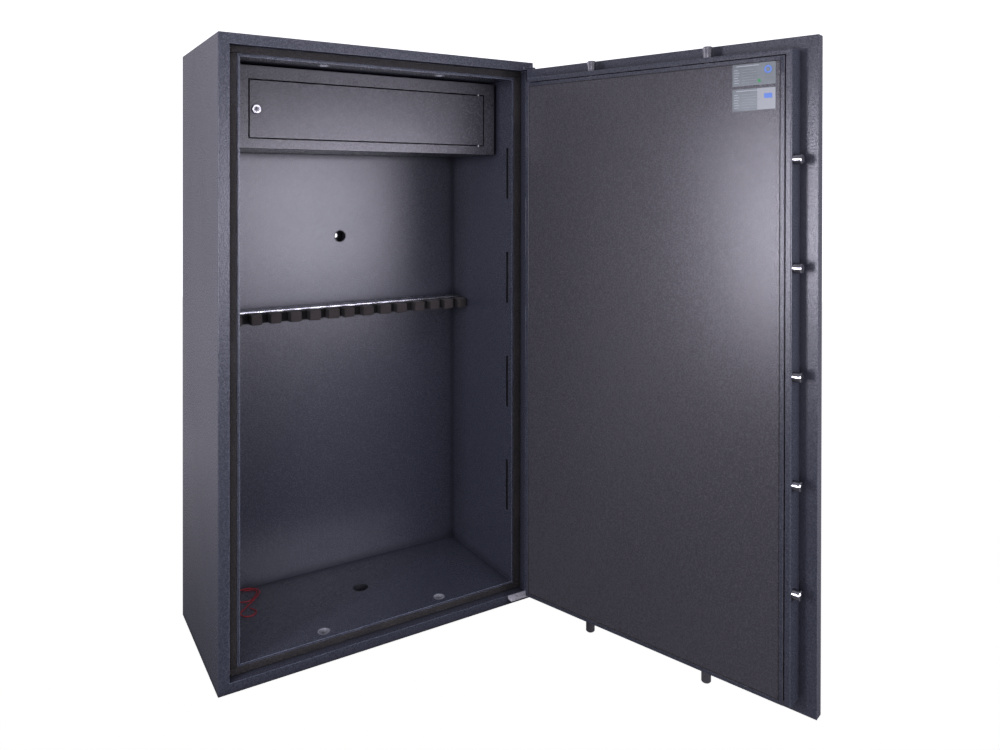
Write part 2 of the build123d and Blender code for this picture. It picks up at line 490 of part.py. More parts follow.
def rack_outline(first, last, offset):
    """Rack along u with teeth towards +v and its pitch line at v = 0; offset in pitches."""
    pitch = math.pi * MODULE
    half = pitch / 4.0 - 0.1
    tip, root = half - ADDENDUM * math.tan(PRESSURE), half + RACK_ROOT * math.tan(PRESSURE)
    start, end = (first + offset - 0.5) * pitch, (last + offset + 0.5) * pitch
    points = [(start, -16.0), (start, -RACK_ROOT)]
    for n in range(first, last + 1):
        u = (n + offset) * pitch
        points += [(u - root, -RACK_ROOT), (u - tip, ADDENDUM),
                   (u + tip, ADDENDUM), (u + root, -RACK_ROOT)]
    return points + [(end, -RACK_ROOT), (end, -16.0)]


pinion = prism_y(pinion_outline(), 27.5, 47.0) - cyl_y(SPINDLE_X, 27, 48, SPINDLE_Z, SPINDLE_R)
save_open("pinion", quarter_turn(pinion))

# side bar, its rack below the pinion
pitch_z = SPINDLE_Z - PITCH_R
rack = prism_y([(SPINDLE_X + u, pitch_z + v) for u, v in rack_outline(-3, 5, 0.5)], 28.5, 35.5)
bar = block(SIDE_BAR_X, 154, 32, 66.5, 262, 1242)
bar += block(154, SPINDLE_X - 12, 28.5, 35.5, pitch_z - 16, pitch_z - 2.4)
bar += block(SIDE_BAR_X, 154, 28.5, 40, SPINDLE_Z - 40, SPINDLE_Z)
save_open("side_bolt_bar", thrown(bar + rack, -1, 0))

# top bar, its rack left of the pinion; two notches for the lock bolt
outline = rack_outline(-6, 4, 0)
pitch_x = SPINDLE_X - PITCH_R
rack = prism_y([(pitch_x + v, SPINDLE_Z + u) for u, v in outline], 38.5, 45.5)
bar = block(pitch_x - 16, pitch_x - 2.4, 38.5, 45.5, SPINDLE_Z + 20, TOP_BAR_Z - 8)
bar += block(186, 612, 38.5, 66.5, TOP_BAR_Z - 8, TOP_BAR_Z)
for z in (LOCK_Z, LOCK_Z - THROW):
    bar -= block(pitch_x - 9, pitch_x + 3, 38, 46, z - 5.5, z + 5.5)
save_open("top_bolt_bar", thrown(bar + rack, 0, 1))

# bottom bar, its rack right of the pinion
pitch_x = SPINDLE_X + PITCH_R
rack = prism_y([(pitch_x - v, SPINDLE_Z - u) for u, v in outline], 38.5, 45.5)
bar = block(pitch_x + 2.4, pitch_x + 16, 38.5, 45.5, BOTTOM_BAR_Z + 8, SPINDLE_Z - 20)
bar += block(238, 612, 38.5, 66.5, BOTTOM_BAR_Z, BOTTOM_BAR_Z + 8)
save_open("bottom_bolt_bar", thrown(bar + rack, 0, -1))


# ----------------------------------------------------------------- handle and main lock
def on_spindle(y0, y1, r):
    return cyl_y(SPINDLE_X, y0, y1, SPINDLE_Z, r)


save_open("handle_spindle", quarter_turn(on_spindle(-34, 52, SPINDLE_R)))
save_open("spindle_bush", on_spindle(0, 26.5, SPINDLE_BUSH_R) - on_spindle(-1, 27, SPINDLE_R + 0.05))
rose = round_at(on_spindle(-5, 0, 29.0), "Y", -5.0, 2.0)
save_open("handle_rose", rose - on_spindle(-6, 1, SPINDLE_R + 0.3))
hub = round_at(on_spindle(-38, -8, 18.0), "Y", -38.0, 4.0)
arm = block(SPINDLE_X - 10, SPINDLE_X + 10, -34, -20, SPINDLE_Z - 120, SPINDLE_Z)
arm = fillet(arm.edges().filter_by(Axis.Z), 5.0)
grip = cyl_y(SPINDLE_X, -36, -18, SPINDLE_Z - 118, 13.0)
lever = hub + arm + fillet(grip.edges(), 4.0)
save_open("handle_lever", quarter_turn(lever - on_spindle(-34, 0, SPINDLE_R)))

case = block(225, 300, 24, 52, LOCK_Z - 45, LOCK_Z + 45)
case = fillet(case.edges().filter_by(Axis.Y), 3.0)
case -= block(228, 297, 27, 49, LOCK_Z - 42, LOCK_Z + 42)
case -= block(224, 229, 37.9, 46.1, LOCK_Z - 5.1, LOCK_Z + 5.1)
save_open("lock_case", case - cyl_y(LOCK_X, 23, 28, LOCK_Z, LOCK_HOLE_R))
bolt = block(214, 262, 38, 46, LOCK_Z - 5, LOCK_Z + 5)
save_open("lock_bolt", bolt + block(246, 262, 38, 46, LOCK_Z - 22, LOCK_Z + 22))
plug = cyl_y(LOCK_X, -4.5, 35, LOCK_Z, LOCK_HOLE_R - 0.05)
plug -= block(LOCK_X - 1.6, LOCK_X + 1.6, -6, 22, LOCK_Z - 6.5, LOCK_Z + 6.5)
save_open("key_plug", plug)
ring = round_at(cyl_y(LOCK_X, -4, 0, LOCK_Z, 19.0), "Y", -4.0, 1.5)
save_open("keyhole_escutcheon", ring - cyl_y(LOCK_X, -5, 1, LOCK_Z, LOCK_HOLE_R))
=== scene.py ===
import bpy
import bmesh
import json
import math
import random
from mathutils import Vector, Matrix, noise


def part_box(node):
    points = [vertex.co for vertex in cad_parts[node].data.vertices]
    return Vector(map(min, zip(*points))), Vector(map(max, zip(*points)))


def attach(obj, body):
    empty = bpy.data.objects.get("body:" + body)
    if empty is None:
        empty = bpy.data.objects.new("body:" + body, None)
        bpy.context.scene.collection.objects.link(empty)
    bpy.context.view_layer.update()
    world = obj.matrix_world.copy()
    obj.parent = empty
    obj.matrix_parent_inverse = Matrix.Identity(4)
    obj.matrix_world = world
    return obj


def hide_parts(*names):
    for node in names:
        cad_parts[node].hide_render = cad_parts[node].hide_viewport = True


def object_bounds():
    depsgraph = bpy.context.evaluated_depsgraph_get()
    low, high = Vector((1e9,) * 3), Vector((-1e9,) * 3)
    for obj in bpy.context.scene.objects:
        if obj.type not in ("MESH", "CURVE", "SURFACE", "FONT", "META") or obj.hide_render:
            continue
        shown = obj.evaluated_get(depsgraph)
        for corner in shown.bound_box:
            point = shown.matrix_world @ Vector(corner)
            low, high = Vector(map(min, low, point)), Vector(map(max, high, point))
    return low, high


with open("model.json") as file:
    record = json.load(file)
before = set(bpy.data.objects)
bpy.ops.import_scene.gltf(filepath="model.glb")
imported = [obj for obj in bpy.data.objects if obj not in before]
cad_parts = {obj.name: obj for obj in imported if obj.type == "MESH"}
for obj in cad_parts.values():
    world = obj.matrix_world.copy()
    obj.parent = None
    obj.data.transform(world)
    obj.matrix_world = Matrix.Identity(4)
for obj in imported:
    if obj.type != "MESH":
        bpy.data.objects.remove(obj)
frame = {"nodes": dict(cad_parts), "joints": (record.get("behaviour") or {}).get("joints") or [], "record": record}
RECORD = frame["record"]
NODES = frame["nodes"]
JOINTS = {j["name"]: j for j in frame["joints"]}
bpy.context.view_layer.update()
rng = random.Random(7)

# The door's nodes stand open at rest: this turns shut coordinates into open ones and back.
HINGE = Vector(JOINTS["door_hinge"]["pos_m"])
OPEN = -math.radians(JOINTS["door_hinge"]["range_deg"][0])
TO_OPEN = Matrix.Translation(HINGE) @ Matrix.Rotation(OPEN, 4, "Z") @ Matrix.Translation(-HINGE)
TO_SHUT = TO_OPEN.inverted()


def shut_box(node):
    co = [TO_SHUT @ v.co for v in NODES[node].data.vertices]
    return (Vector([min(c[i] for c in co) for i in range(3)]), Vector([max(c[i] for c in co) for i in range(3)]))


# ------------------------------------------------------------------ materials
class Mat:
    def __init__(self, name):
        self.m = bpy.data.materials.new(name)
        self.m.use_nodes = True
        self.t = self.m.node_tree
        self.b = self.t.nodes["Principled BSDF"]
        self.co = self.add("ShaderNodeTexCoord").outputs["Object"]

    def add(self, kind, **kw):
        n = self.t.nodes.new(kind)
        for k, v in kw.items():
            setattr(n, k, v)
        return n

    def put(self, sock, v):
        if isinstance(v, bpy.types.NodeSocket):
            self.t.links.new(v, sock)
        else:
            sock.default_value = v

    def noise(self, scale, detail=2.0, rough=0.5, vec=None, dist=0.0):
        n = self.add("ShaderNodeTexNoise")
        self.put(n.inputs["Vector"], vec or self.co)
        n.inputs["Scale"].default_value = scale
        n.inputs["Detail"].default_value = detail
        n.inputs["Roughness"].default_value = rough
        n.inputs["Distortion"].default_value = dist
        return n.outputs["Fac"]

    def voronoi(self, scale, vec=None, feature="F1"):
        n = self.add("ShaderNodeTexVoronoi", feature=feature)
        self.put(n.inputs["Vector"], vec or self.co)
        n.inputs["Scale"].default_value = scale
        return n.outputs["Distance"]

    def stretch(self, sx, sy, sz):
        n = self.add("ShaderNodeMapping")
        self.put(n.inputs["Vector"], self.co)
        n.inputs["Scale"].default_value = (sx, sy, sz)
        return n.outputs["Vector"]

    def math(self, op, a, b=0.0, c=0.0, clamp=False):
        n = self.add("ShaderNodeMath", operation=op)
        n.use_clamp = clamp
        self.put(n.inputs[0], a)
        self.put(n.inputs[1], b)
        self.put(n.inputs[2], c)
        return n.outputs[0]

    def remap(self, v, a, b, c=0.0, d=1.0):
        n = self.add("ShaderNodeMapRange")
        n.clamp = True
        self.put(n.inputs["Value"], v)
        n.inputs["From Min"].default_value = a
        n.inputs["From Max"].default_value = b
        n.inputs["To Min"].default_value = c
        n.inputs["To Max"].default_value = d
        return n.outputs["Result"]

    def mix(self, f, a, b):
        n = self.add("ShaderNodeMix", data_type="RGBA")
        self.put(n.inputs["Factor"], f)
        col = [s for s in n.inputs if s.type == "RGBA"]
        self.put(col[0], a if isinstance(a, bpy.types.NodeSocket) else (*a, 1.0))
        self.put(col[1], b if isinstance(b, bpy.types.NodeSocket) else (*b, 1.0))
        return [s for s in n.outputs if s.type == "RGBA"][0]

    def bump(self, h, strength, dist, normal=None):
        n = self.add("ShaderNodeBump")
        n.inputs["Strength"].default_value = strength
        n.inputs["Distance"].default_value = dist
        self.put(n.inputs["Height"], h)
        if normal is not None:
            self.put(n.inputs["Normal"], normal)
        return n.outputs["Normal"]

    def edges(self, radius):
        # 1 on sharp edges, 0 on flats
        bev = self.add("ShaderNodeBevel")
        bev.samples = 4
        bev.inputs["Radius"].default_value = radius
        geo = self.add("ShaderNodeNewGeometry")
        dot = self.add("ShaderNodeVectorMath", operation="DOT_PRODUCT")
        self.put(dot.inputs[0], bev.outputs["Normal"])
        self.put(dot.inputs[1], geo.outputs["Normal"])
        return self.remap(dot.outputs["Value"], 0.985, 0.80)

    def painted_shade(self, dist, low=0.30, a=0.30, b=0.88):
        # painted shade: darker in seams, gaps and inner corners, taken from ambient occlusion
        n = self.add("ShaderNodeAmbientOcclusion")
        n.samples = 6
        n.inputs["Distance"].default_value = dist
        return self.remap(n.outputs["AO"], a, b, low, 1.0)

    def set(self, **kw):
        for k, v in kw.items():
            s = self.b.inputs[k.replace("_", " ")]
            if isinstance(v, tuple) and len(v) == 3 and s.type == "RGBA":
                v = (*v, 1.0)
            self.put(s, v)
        return self.m


def powder(name, base, light, rough=0.25, grain=1.0, wear_and_highlight=0.5, even=0.1, flake=0.34, bright=None, mouth=None):
    m = Mat(name)
    peel = m.noise(285, 2.0, 0.5)
    fine = m.noise(760, 1.0, 0.5)
    blot = m.noise(3.2, 3.0, 0.55)
    fleck = m.noise(430, 2.0, 0.6, dist=0.4)
    spot = m.remap(fleck, 0.60, 0.74)
    dark = m.remap(fleck, 0.40, 0.26)
    c = m.mix(m.remap(peel, 0.32, 0.68), tuple(v * 0.74 for v in base), tuple(v * 1.26 for v in base))
    c = m.mix(m.math("MULTIPLY", m.remap(blot, 0.35, 0.7), 0.4), c, tuple(v * 0.88 for v in base))
    c = m.mix(m.math("MULTIPLY", spot, flake), c, light)
    c = m.mix(m.math("MULTIPLY", dark, 0.45), c, tuple(v * 0.45 for v in base))
    # edges lightened in a worn pattern: partly rubbed wear, partly painted highlight along the folded edges
    wear_and_highlight_mask = m.math("MULTIPLY", m.edges(0.0020), m.remap(m.noise(38, 4.0, 0.65), 0.44, 0.64, even, 1.0))
    # painted shade: near black mixed into seams and recesses; the same factor roughens them and lowers their gloss
    painted_shade_fac = m.painted_shade(0.030)
    c = m.mix(painted_shade_fac, (0.002, 0.002, 0.003), c)
    # the painted edge highlight is kept to the liner's front lip; edges further in keep a quarter of it
    if mouth is not None:
        sep = m.add("ShaderNodeSeparateXYZ")
        m.put(sep.inputs[0], m.co)
        wear_and_highlight_mask = m.math("MULTIPLY", wear_and_highlight_mask, m.remap(sep.outputs["Y"], mouth, mouth + 0.003, 1.0, 0.25))
    c = m.mix(m.math("MULTIPLY", wear_and_highlight_mask, wear_and_highlight), c, bright or light)
    h = m.math("ADD", m.math("MULTIPLY", peel, 0.8), m.math("MULTIPLY", fine, 0.2))
    n = m.bump(h, 0.42 * grain, 0.0011)
    r = m.math("ADD", m.remap(peel, 0.3, 0.7, rough - 0.04, rough + 0.05), m.math("MULTIPLY", m.remap(blot, 0.35, 0.65), 0.03))
    r = m.math("ADD", r, m.math("MULTIPLY", m.math("SUBTRACT", 1.0, painted_shade_fac), 0.35))
    spec = m.math("MULTIPLY", painted_shade_fac, 0.55)
    return m.set(Base_Color=c, Roughness=r, Normal=n, Specular_IOR_Level=spec)


def metal(name, base, dark, rough, brush=(1, 1, 1), bstr=0.15, wear_and_highlight=0.4, scale=260, metallic=1.0, shaded_skirt=False):
    m = Mat(name)
    v = m.stretch(*brush)
    a = m.noise(scale, 4.0, 0.6, vec=v)
    b = m.noise(22, 3.0, 0.55)
    c = m.mix(m.remap(a, 0.35, 0.65), dark, base)
    c = m.mix(m.math("MULTIPLY", m.remap(b, 0.42, 0.7), 0.35), c, tuple(x * 0.72 for x in base))
    # edges lightened: partly rubbed wear, partly painted glint
    e = m.edges(0.0009)
    c = m.mix(m.math("MULTIPLY", e, wear_and_highlight), c, tuple(min(1.0, x * 1.25) for x in base))
    r = m.math("ADD", m.remap(a, 0.3, 0.7, rough * 0.75, rough * 1.25), m.math("MULTIPLY", m.remap(b, 0.45, 0.75), 0.10))
    # painted shade: near black in seams and hollows around the part
    c = m.mix(m.painted_shade(0.008, low=0.12), (0.01, 0.01, 0.01), c)
    if shaded_skirt:
        # painted shade on the round skirt: faces turned sideways from the front go nearly black
        geo = m.add("ShaderNodeNewGeometry")
        sep = m.add("ShaderNodeSeparateXYZ")
        m.put(sep.inputs[0], geo.outputs["Normal"])
        c = m.mix(m.remap(m.math("ABSOLUTE", sep.outputs["Y"]), 0.45, 0.85), tuple(x * 0.05 for x in base), c)
    return m.set(Base_Color=c, Metallic=metallic, Roughness=r, Normal=m.bump(a, bstr, 0.0003))


PAINT = powder("paint_body", (0.036, 0.040, 0.053), (0.16, 0.16, 0.18), wear_and_highlight=0.9, even=0.45, flake=0.42, bright=(0.24, 0.27, 0.35))
# liner paint with a strong pale edge colour: painted highlight on the front lip
PAINT_IN = powder("paint_liner", (0.037, 0.041, 0.055), (0.15, 0.15, 0.17), wear_and_highlight=1.0, even=0.7, bright=(0.36, 0.40, 0.50), mouth=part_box("inner_shell")[0].y + 0.006)
PAINT_DOOR = powder("paint_door", (0.035, 0.039, 0.051), (0.17, 0.17, 0.19), flake=0.50)
PAINT_PANEL = powder("paint_panel", (0.047, 0.045, 0.051), (0.16, 0.155, 0.165), grain=0.9)
PAINT_LOCK = powder("paint_locker", (0.045, 0.044, 0.050), (0.15, 0.148, 0.16), grain=0.85)
# a darker copy of the body paint for the anchor cups in their holes: painted shade
PAINT_SHADED = powder("paint_recess_shaded", (0.020, 0.021, 0.026), (0.06, 0.06, 0.065), rough=0.42, wear_and_highlight=0.2)
# the bolts' chrome is a darkened copy so their reflections read dark: painted shade; the lock's chrome is the brighter
# copy
CHROME = metal("chrome_bolt", (0.36, 0.36, 0.38), (0.26, 0.26, 0.28), 0.13, bstr=0.05, wear_and_highlight=0.5, scale=90)
CHROME_LOCK = metal("chrome_lock", (0.62, 0.62, 0.64), (0.46, 0.46, 0.49), 0.26, bstr=0.06, wear_and_highlight=0.2, scale=120, shaded_skirt=True)
ZINC = metal("zinc_plate", (0.66, 0.67, 0.69), (0.48, 0.49, 0.51), 0.34, bstr=0.2)
ZINC_MATT = metal("zinc_matt", (0.78, 0.77, 0.80), (0.60, 0.60, 0.62), 0.55, bstr=0.2, metallic=0.35)
STEEL = metal("machined_steel", (0.42, 0.42, 0.43), (0.28, 0.28, 0.29), 0.36, brush=(1, 1, 9), bstr=0.2)
TRIM = metal("bright_trim", (0.78, 0.79, 0.83), (0.62, 0.63, 0.67), 0.22, brush=(0.06, 3, 3), bstr=0.12, scale=420)
BRASS = metal("brass", (0.70, 0.52, 0.22), (0.52, 0.37, 0.14), 0.28)
# bright rims on the bolt bushes come from the edge lightening: partly wear, partly painted highlight
BUSH = metal("bush_steel", (0.42, 0.43, 0.46), (0.26, 0.27, 0.29), 0.42, bstr=0.25, wear_and_highlight=0.8, metallic=0.5)
PLATE = metal("plate_alu", (0.175, 0.195, 0.195), (0.12, 0.135, 0.135), 0.40, brush=(14, 14, 0.4), bstr=0.1, scale=160)


def foam_material(name="foam_rubber", k=1.0):
    m = Mat(name)
    cell = m.voronoi(900)
    big = m.noise(140, 4.0, 0.65)
    tint = m.noise(9.0, 2.0, 0.5)
    c = m.mix(m.remap(cell, 0.1, 0.7), (0.014 * k, 0.0118 * k, 0.0108 * k), (0.050 * k, 0.043 * k, 0.040 * k))
    c = m.mix(m.math("MULTIPLY", m.remap(tint, 0.4, 0.7), 0.5), c, (0.066 * k, 0.057 * k, 0.053 * k))
    # painted shade: foam goes near black in the gaps between the blocks
    c = m.mix(m.painted_shade(0.040, low=0.04, a=0.42, b=0.94), (0.0008, 0.0008, 0.0008), c)
    h = m.math("ADD", m.math("MULTIPLY", cell, 0.5), m.math("MULTIPLY", big, 0.5))
    return m.set(Base_Color=c, Roughness=0.93, Normal=m.bump(h, 0.8, 0.0012), Specular_IOR_Level=0.25,
                 Sheen_Weight=0.12, Sheen_Roughness=0.5)


def seal_material():
    m = Mat("seal_strip")
    a = m.noise(210, 4.0, 0.62)
    b = m.noise(17, 3.0, 0.6)
    c = m.mix(m.remap(a, 0.40, 0.62), (0.005, 0.005, 0.005), (0.026, 0.023, 0.021))
    c = m.mix(m.math("MULTIPLY", m.remap(b, 0.5, 0.75), 0.5), c, (0.040, 0.034, 0.030))
    c = m.mix(m.math("MULTIPLY", m.remap(m.noise(330, 2.0, 0.6), 0.56, 0.72), 0.55), c, (0.10, 0.092, 0.086))
    return m.set(Base_Color=c, Roughness=m.remap(b, 0.3, 0.7, 0.62, 0.85), Normal=m.bump(a, 0.5, 0.0008), Specular_IOR_Level=0.35)


def cord_material():
    m = Mat("cord_red")
    a = m.noise(700, 2.0, 0.5)
    w = m.noise(30, 2.0, 0.5)
    c = m.mix(m.remap(a, 0.3, 0.7), (0.34, 0.010, 0.014), (0.52, 0.020, 0.022))
    c = m.mix(m.math("MULTIPLY", m.remap(w, 0.5, 0.7), 0.3), c, (0.20, 0.012, 0.014))
    return m.set(Base_Color=c, Roughness=0.45, Normal=m.bump(a, 0.3, 0.0004))


def mineral_material():
    # near-black filling so the slots that show it read dark: painted shade
    m = Mat("mineral_fill_shaded")
    a = m.noise(95, 6.0, 0.7)
    b = m.voronoi(160)
    c = m.mix(m.remap(a, 0.3, 0.7), (0.003, 0.003, 0.003), (0.009, 0.009, 0.009))
    return m.set(Base_Color=c, Roughness=0.92, Normal=m.bump(m.math("ADD", a, b), 0.6, 0.0015))


def print_material(name, colour, rough=0.35):
    m = Mat(name)
    a = m.noise(900, 2.0, 0.5)
    c = m.mix(m.remap(a, 0.3, 0.75), tuple(v * 0.85 for v in colour), colour)
    return m.set(Base_Color=c, Roughness=m.remap(a, 0.3, 0.7, rough, rough + 0.12), Normal=m.bump(a, 0.1, 0.0001))


FOAM, SEAL, CORD, MINERAL_SHADED = foam_material(), seal_material(), cord_material(), mineral_material()
FOAM_DARK = foam_material("foam_rubber_shaded", 0.22)

NODE_MATS = {
    "outer_shell": PAINT, "inner_shell": PAINT_IN, "hinge_dogs": PAINT_DOOR, "floor_anchor_cup": PAINT_SHADED, "back_anchor_cup": PAINT_SHADED, "bolt_bushes": BUSH, "locker_body": PAINT_LOCK, "locker_door": PAINT_LOCK,
    "door_pan": PAINT_DOOR, "door_back_plate": PAINT_DOOR, "boltwork_casing": PAINT_DOOR, "inner_panel": PAINT_PANEL,
    "hinge_leaf_bottom": PAINT_DOOR, "hinge_leaf_top": PAINT_DOOR, "hinge_bracket_top": PAINT,
    "fill_left": MINERAL_SHADED, "fill_right": MINERAL_SHADED, "fill_top": MINERAL_SHADED, "fill_bottom": MINERAL_SHADED, "fill_back": MINERAL_SHADED,
    "door_filling": MINERAL_SHADED, "fire_seal": SEAL, "rack_foam": FOAM, "red_cord": CORD,
    "side_bolts": CHROME, "top_bolts": CHROME, "bottom_bolts": CHROME, "handle_lever": CHROME, "handle_rose": CHROME,
    "keyhole_escutcheon": CHROME, "locker_lock_barrel": CHROME_LOCK, "locker_key_plug": CHROME,
    "rack_rail": TRIM, "data_plates": PLATE, "lock_bolt": BRASS, "spindle_bush": BRASS,
    "hinge_bracket_bottom": ZINC_MATT, "hinge_pin_bottom": ZINC_MATT, "hinge_pin_top": PAINT, "locker_screws": ZINC, "rack_screws": ZINC,
    "locker_hinge_pins": ZINC_MATT, "locker_cam": ZINC, "side_bolt_bar": ZINC, "top_bolt_bar": ZINC, "bottom_bolt_bar": ZINC,
}
for name, obj in NODES.items():
    mat = NODE_MATS.get(name, STEEL)
    if not obj.material_slots:
        obj.data.materials.append(mat)
    for s in obj.material_slots:
        s.material = mat


# ------------------------------------------------------------------ mesh helpers
def to_object(bm, name, mat, body, matrix=None, smooth=True):
    me = bpy.data.meshes.new(name)
    if matrix is not None:
        bm.transform(matrix)
    bmesh.ops.recalc_face_normals(bm, faces=bm.faces)
    bm.to_mesh(me)
    bm.free()
    if smooth:
        for p in me.polygons:
            p.use_smooth = True
    o = bpy.data.objects.new(name, me)
    bpy.context.scene.collection.objects.link(o)
    me.materials.append(mat)
    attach(o, body)
    return o


def soft_box(lo, hi, r, seg=3, cuts=(0, 0, 0), wob=0.0, seed=0.0, crown=0.0):
    """A rounded box as its own bmesh, optionally cut up and made slightly uneven."""
    bm = bmesh.new()
    bmesh.ops.create_cube(bm, size=1.0)
    size, mid = Vector(hi) - Vector(lo), (Vector(hi) + Vector(lo)) / 2
    for v in bm.verts:
        v.co = Vector((v.co.x * size.x, v.co.y * size.y, v.co.z * size.z)) + mid
    for ax in range(3):
        n = cuts[ax]
        for k in range(1, n + 1):
            at = Vector(mid)
            at[ax] = lo[ax] + size[ax] * k / (n + 1)
            no = Vector((0, 0, 0))
            no[ax] = 1
            bmesh.ops.bisect_plane(bm, geom=bm.verts[:] + bm.edges[:] + bm.faces[:], plane_co=at, plane_no=no)
    sharp = [e for e in bm.edges if len(e.link_faces) == 2 and e.link_faces[0].normal.angle(e.link_faces[1].normal) > 0.5]
    if r > 0:
        bmesh.ops.bevel(bm, geom=sharp, offset=r, segments=seg, profile=0.5, affect="EDGES", clamp_overlap=True)
    if crown:
        for v in bm.verts:
            u = 1 - (2 * (v.co.x - mid.x) / size.x) ** 2
            w = 1 - (2 * (v.co.z - mid.z) / size.z) ** 2
            if v.co.y < mid.y:
                v.co.y -= crown * max(0.0, u) * max(0.0, w)
    if wob:
        for v in bm.verts:
            p = v.co * 60 + Vector((seed, seed * 1.7, 0))
            v.co += noise.noise_vector(p) * wob
    return bm


def merge(parts):
    bm = bmesh.new()
    for p in parts:
        me = bpy.data.meshes.new("tmp")
        p.to_mesh(me)
        p.free()
        bm.from_mesh(me)
        bpy.data.meshes.remove(me)
    return bm


# ------------------------------------------------------------------ rifle rack foam
lo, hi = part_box("rack_foam")
parts = []
centres = (56.5, 108.5, 160.5, 211.5, 266.0, 320.0, 373.0, 418.0, 474.5, 528.0, 579.0, 636.5, 686.5, 734.5, 782.0)
widths = (30, 29, 28.7, 29.4, 30.2, 31, 31.8, 29.5, 31.8, 32.6, 31.8, 31, 30, 28.3, 31)
spine = [soft_box((lo.x + 0.0001, lo.y + 0.0268, lo.z + 0.0012), (hi.x - 0.0001, lo.y + 0.046, hi.z - 0.0034), 0.0016, 2, cuts=(60, 1, 1), wob=0.0005, seed=3.1)]
parts.append(soft_box((lo.x, lo.y + 0.045, lo.z + 0.0005), (hi.x, hi.y - 0.0005, hi.z - 0.0005), 0.003, 2, cuts=(60, 1, 1), wob=0.0006))
for i, (cx, wd) in enumerate(zip(centres, widths)):
    x, half = lo.x + (cx - 56.0) / 1000.0, wd / 2000.0
    a, b = max(lo.x, x - half), min(hi.x, x + half)
    dz = rng.uniform(-0.0006, 0.0)
    parts.append(soft_box((a, lo.y + 0.0012, lo.z + 0.0004 - dz), (b, lo.y + 0.0385, hi.z - 0.0012 + dz), 0.0021, 3,
                          cuts=(4, 4, 4), wob=0.0007, seed=5.3 * i, crown=0.0006))
foam = to_object(merge(parts), "rack_foam_comb", FOAM, "cabinet")
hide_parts("rack_foam")
to_object(merge(spine), "rack_foam_spine", FOAM_DARK, "cabinet")

# ------------------------------------------------------------------ heat seal strips
lo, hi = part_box("fire_seal")
parts = []
wS, wV, gap = 0.0158, 0.0213, 0.0004
for x0 in (lo.x, hi.x - wV):
    parts.append(soft_box((x0, lo.y, lo.z + wS + gap), (x0 + wV, hi.y - 0.00005, hi.z - wS - gap), 0.0010, 3, cuts=(1, 0, 70), wob=0.00022, seed=x0 * 10))
for z0 in (lo.z, hi.z - wS):
    parts.append(soft_box((lo.x, lo.y, z0), (hi.x, hi.y - 0.00005, z0 + wS), 0.0010, 3, cuts=(40, 0, 1), wob=0.00022, seed=z0 * 10))
seal = to_object(merge(parts), "heat_seal_strips", SEAL, "cabinet")
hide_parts("fire_seal")

# ------------------------------------------------------------------ red cord
lo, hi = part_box("red_cord")
cu = bpy.data.curves.new("red_cord_loop", "CURVE")
cu.dimensions = "3D"
cu.bevel_depth = 0.0010
cu.bevel_resolution = 3
cu.resolution_u = 10
fl = lo.z + 0.0013
w, d = hi.x - lo.x, hi.y - lo.y
pts = [(0.52, 0.97, 0), (0.86, 0.89, 0), (0.76, 0.68, 0), (0.42, 0.55, 0), (0.14, 0.70, 0), (0.24, 0.93, 0.0028), (0.63, 0.98, 0.003),
       (0.95, 0.80, 0.003), (0.66, 0.54, 0.0030), (0.28, 0.34, 0.0006), (0.04, 0.17, 0), (0.24, 0.03, 0), (0.52, 0.12, 0), (0.40, 0.30, 0)]
sp = cu.splines.new("BEZIER")
sp.bezier_points.add(len(pts) - 1)
for bp, (u, v, z) in zip(sp.bezier_points, pts):
    bp.co = (lo.x + u * w, lo.y + v * d, fl + z)
    bp.handle_left_type = bp.handle_right_type = "AUTO"
cord = bpy.data.objects.new("red_cord_loop", cu)
bpy.context.scene.collection.objects.link(cord)
cu.materials.append(CORD)
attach(cord, "cabinet")
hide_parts("red_cord")

# ------------------------------------------------------------------ folded hem around the door's inner panel
ilo, ihi = shut_box("inner_panel")
hem, top_y = 0.0088, ihi.y
rim = []
for x0, x1, z0, z1 in ((ilo.x + 0.0004, ilo.x + hem, ilo.z + 0.0004, ihi.z - 0.0004), (ihi.x - hem, ihi.x - 0.0004, ilo.z + 0.0004, ihi.z - 0.0004),
                       (ilo.x + hem + 0.0001, ihi.x - hem - 0.0001, ihi.z - hem, ihi.z - 0.0004), (ilo.x + hem + 0.0001, ihi.x - hem - 0.0001, ilo.z + 0.0004, ilo.z + hem)):
    rim.append(soft_box((x0, top_y - 0.0002, z0), (x1, top_y + 0.0011, z1), 0.0006, 2, cuts=(12, 0, 30), wob=0.00012, seed=x0 * 7 + z0))
to_object(merge(rim), "inner_panel_hem", PAINT_DOOR, "door", TO_OPEN)
bead, bw = [], 0.0018
bx0, bx1, bz0, bz1 = ilo.x + hem + 0.0001, ihi.x - hem - 0.0001, ilo.z + hem + 0.0001, ihi.z - hem - 0.0001
for x0, x1, z0, z1 in ((bx0, bx0 + bw, bz0, bz1), (bx1 - bw, bx1, bz0, bz1), (bx0 + bw, bx1 - bw, bz1 - bw, bz1), (bx0 + bw, bx1 - bw, bz0, bz0 + bw)):
    bead.append(soft_box((x0, top_y - 0.0002, z0), (x1, top_y + 0.0005, z1), 0.0003, 2, cuts=(10, 0, 24), wob=0.00008, seed=x0 * 5 + z0))
to_object(merge(bead), "inner_panel_bead", SEAL, "door", TO_OPEN)

# ------------------------------------------------------------------ printed marks on the data plates (blank fields, no lettering)
WHITE, BLUE, GREEN, GREY = (print_material("print_white", (0.42, 0.44, 0.46)), print_material("print_blue", (0.10, 0.22, 0.62)),
                            print_material("print_green", (0.02, 0.26, 0.06)), print_material("print_grey", (0.26, 0.28, 0.29)))
plo, phi = shut_box("data_plates")
ph = 0.0485                      # height of the upper plate
upper, lower = phi.z, plo.z + 0.0475
yf = phi.y


